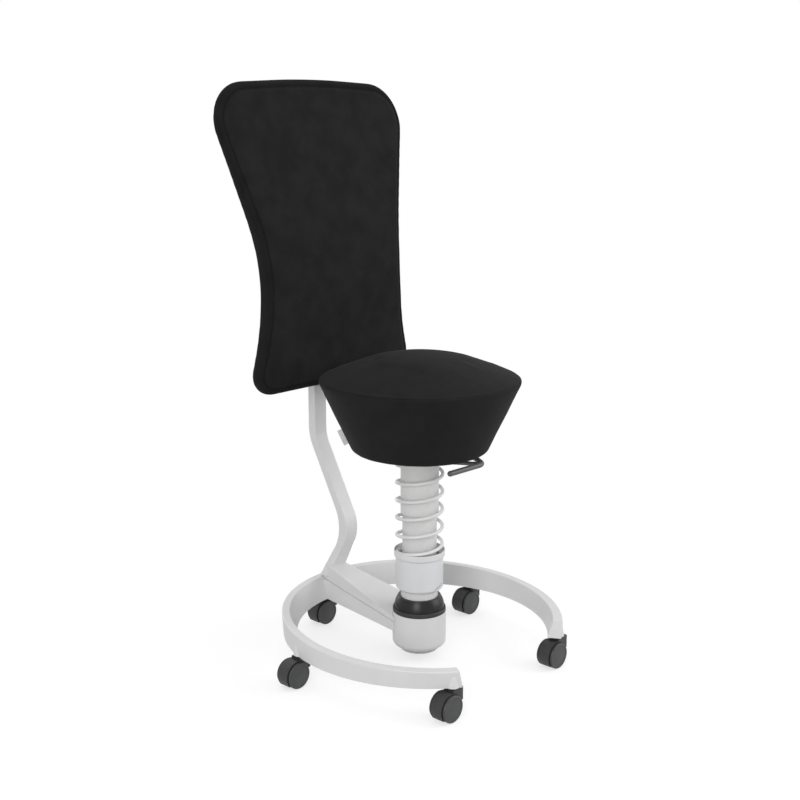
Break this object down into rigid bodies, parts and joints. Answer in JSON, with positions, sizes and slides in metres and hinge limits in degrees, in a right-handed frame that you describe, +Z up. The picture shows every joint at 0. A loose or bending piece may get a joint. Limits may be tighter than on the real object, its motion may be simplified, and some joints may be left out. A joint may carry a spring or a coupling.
{
  "type": "wobble stool with backrest",
  "caption": "Active sitting stool: padded round seat on a sprung gas-lift column that tilts on a gimbal in an open oval caster base, with a padded back on a bent post",
  "frame": {"origin": "on the floor under the column axis", "axes": "+Z up, the sitter faces -Y, the backrest is at +Y"},
  "size_m": [0.5906, 0.6047, 1.166],
  "materials": {
    "frame_paint": "satin light grey powder coat",
    "cup_paint": "satin pale grey",
    "tube_paint": "satin grey",
    "spring_paint": "pale grey lacquer",
    "grey_plastic": "moulded, light grey",
    "black_plastic": "moulded, matt",
    "wheel_plastic": "moulded, fine grain",
    "bush_plastic": "slide plastic",
    "black_rubber": "soft black rubber",
    "steel": "plain steel",
    "black_steel": "black powder coat",
    "plywood": "bare plywood",
    "seat_fabric": "black microfibre over foam"
  },
  "bodies": {
    "base": {"base_frame": "frame_paint", "post_screws": "steel", "caster_sockets": "bush_plastic", "hub_cap": "grey_plastic", "hub_lip": "black_rubber", "tilt_buffer": "black_rubber", "hub_pins": "steel", "backrest_post": "frame_paint", "backrest_screws": "steel", "backrest_cushion": "seat_fabric", "backrest_board": "plywood", "backrest_rear_cover": "seat_fabric", "backrest_bracket": "black_steel"},
    "gimbal": {"gimbal_ring": "steel", "column_pins": "steel"},
    "column": {"column_foot": "frame_paint", "hub_dome": "black_plastic", "lower_tube": "tube_paint", "lower_bush": "bush_plastic", "coil_spring": "spring_paint"},
    "cup": {"spring_cup": "cup_paint"},
    "carriage": {"upper_tube": "tube_paint", "upper_bush": "bush_plastic", "spring_flange": "tube_paint", "guide_tube": "tube_paint", "guide_bush": "bush_plastic", "lift_end_plate": "steel"},
    "rod": {"piston_rod": "steel", "thrust_bearing": "steel", "rod_clip": "steel"},
    "seat": {"gas_cylinder": "black_steel", "seat_mount": "black_steel", "lever_pin": "steel", "seat_screws": "steel", "seat_board": "plywood", "seat_cushion": "seat_fabric", "seat_top_pad": "seat_fabric", "seat_tab": "seat_fabric"},
    "lever": {"height_lever": "black_steel"},
    "valve": {"valve_button": "steel"},
    "caster_front_left": {"caster_hood_front_left": "black_plastic", "caster_stem_front_left": "steel"},
    "wheel_near_front_left": {"caster_wheel_near_front_left": "wheel_plastic"},
    "wheel_far_front_left": {"caster_wheel_far_front_left": "wheel_plastic"},
    "caster_front_right": {"caster_hood_front_right": "black_plastic", "caster_stem_front_right": "steel"},
    "wheel_near_front_right": {"caster_wheel_near_front_right": "wheel_plastic"},
    "wheel_far_front_right": {"caster_wheel_far_front_right": "wheel_plastic"},
    "caster_side_left": {"caster_hood_side_left": "black_plastic", "caster_stem_side_left": "steel"},
    "wheel_near_side_left": {"caster_wheel_near_side_left": "wheel_plastic"},
    "wheel_far_side_left": {"caster_wheel_far_side_left": "wheel_plastic"},
    "caster_side_right": {"caster_hood_side_right": "black_plastic", "caster_stem_side_right": "steel"},
    "wheel_near_side_right": {"caster_wheel_near_side_right": "wheel_plastic"},
    "wheel_far_side_right": {"caster_wheel_far_side_right": "wheel_plastic"},
    "caster_back": {"caster_hood_back": "black_plastic", "caster_stem_back": "steel"},
    "wheel_near_back": {"caster_wheel_near_back": "wheel_plastic"},
    "wheel_far_back": {"caster_wheel_far_back": "wheel_plastic"}
  },
  "joints": [
    {"name": "tilt_sideways", "type": "hinge", "parent": "base", "child": "gimbal", "pos_m": [0, 0, 0.105], "axis": [0, 1, 0], "range_deg": [-8, 8], "stiffness_Nm_per_rad": 400},
    {"name": "tilt_fore_aft", "type": "hinge", "parent": "gimbal", "child": "column", "pos_m": [0, 0, 0.105], "axis": [1, 0, 0], "range_deg": [-1, 8], "stiffness_Nm_per_rad": 400},
    {"name": "spring_preload", "type": "hinge", "parent": "column", "child": "cup", "pos_m": [0, 0, 0.19], "axis": [0, 0, 1], "range_deg": [0, 180]},
    {"name": "bounce", "type": "slide", "parent": "column", "child": "carriage", "axis": [0, 0, 1], "range_m": [-0.045, 0], "stiffness_N_per_m": 8000, "springref_m": 0.03, "deforming": ["coil_spring"]},
    {"name": "seat_swivel", "type": "hinge", "parent": "carriage", "child": "rod", "pos_m": [0, 0, 0.21], "axis": [0, 0, 1], "continuous": true},
    {"name": "seat_height", "type": "slide", "parent": "rod", "child": "seat", "axis": [0, 0, 1], "range_m": [0, 0.1]},
    {"name": "lever_lift", "type": "hinge", "parent": "seat", "child": "lever", "pos_m": [0, -0.058, 0.4455], "axis": [-1, 0, 0], "range_deg": [0, 3], "stiffness_Nm_per_rad": 6, "springref_deg": -4.58},
    {"name": "valve_press", "type": "slide", "parent": "seat", "child": "valve", "axis": [0, 0, 1], "range_m": [-0.0032, 0]},
    {"name": "swivel_front_left", "type": "hinge", "parent": "base", "child": "caster_front_left", "pos_m": [-0.16268, -0.23328, 0.06], "axis": [0, 0, 1], "continuous": true},
    {"name": "roll_near_front_left", "type": "hinge", "parent": "caster_front_left", "child": "wheel_near_front_left", "pos_m": [-0.18118, -0.23328, 0.0265], "axis": [0, 1, 0], "continuous": true},
    {"name": "roll_far_front_left", "type": "hinge", "parent": "caster_front_left", "child": "wheel_far_front_left", "pos_m": [-0.18118, -0.23328, 0.0265], "axis": [0, 1, 0], "continuous": true},
    {"name": "swivel_front_right", "type": "hinge", "parent": "base", "child": "caster_front_right", "pos_m": [0.16268, -0.23328, 0.06], "axis": [0, 0, 1], "continuous": true},
    {"name": "roll_near_front_right", "type": "hinge", "parent": "caster_front_right", "child": "wheel_near_front_right", "pos_m": [0.14418, -0.23328, 0.0265], "axis": [0, 1, 0], "continuous": true},
    {"name": "roll_far_front_right", "type": "hinge", "parent": "caster_front_right", "child": "wheel_far_front_right", "pos_m": [0.14418, -0.23328, 0.0265], "axis": [0, 1, 0], "continuous": true},
    {"name": "swivel_side_left", "type": "hinge", "parent": "base", "child": "caster_side_left", "pos_m": [-0.26011, 0.07943, 0.06], "axis": [0, 0, 1], "continuous": true},
    {"name": "roll_near_side_left", "type": "hinge", "parent": "caster_side_left", "child": "wheel_near_side_left", "pos_m": [-0.27861, 0.07943, 0.0265], "axis": [0, 1, 0], "continuous": true},
    {"name": "roll_far_side_left", "type": "hinge", "parent": "caster_side_left", "child": "wheel_far_side_left", "pos_m": [-0.27861, 0.07943, 0.0265], "axis": [0, 1, 0], "continuous": true},
    {"name": "swivel_side_right", "type": "hinge", "parent": "base", "child": "caster_side_right", "pos_m": [0.26011, 0.07943, 0.06], "axis": [0, 0, 1], "continuous": true},
    {"name": "roll_near_side_right", "type": "hinge", "parent": "caster_side_right", "child": "wheel_near_side_right", "pos_m": [0.24161, 0.07943, 0.0265], "axis": [0, 1, 0], "continuous": true},
    {"name": "roll_far_side_right", "type": "hinge", "parent": "caster_side_right", "child": "wheel_far_side_right", "pos_m": [0.24161, 0.07943, 0.0265], "axis": [0, 1, 0], "continuous": true},
    {"name": "swivel_back", "type": "hinge", "parent": "base", "child": "caster_back", "pos_m": [0, 0.2736, 0.06], "axis": [0, 0, 1], "continuous": true},
    {"name": "roll_near_back", "type": "hinge", "parent": "caster_back", "child": "wheel_near_back", "pos_m": [-0.0185, 0.2736, 0.0265], "axis": [0, 1, 0], "continuous": true},
    {"name": "roll_far_back", "type": "hinge", "parent": "caster_back", "child": "wheel_far_back", "pos_m": [-0.0185, 0.2736, 0.0265], "axis": [0, 1, 0], "continuous": true}
  ],
  "couplings": [
    {"joint": "valve_press", "follows": "lever_lift", "m_per_rad": -0.058}
  ]
}
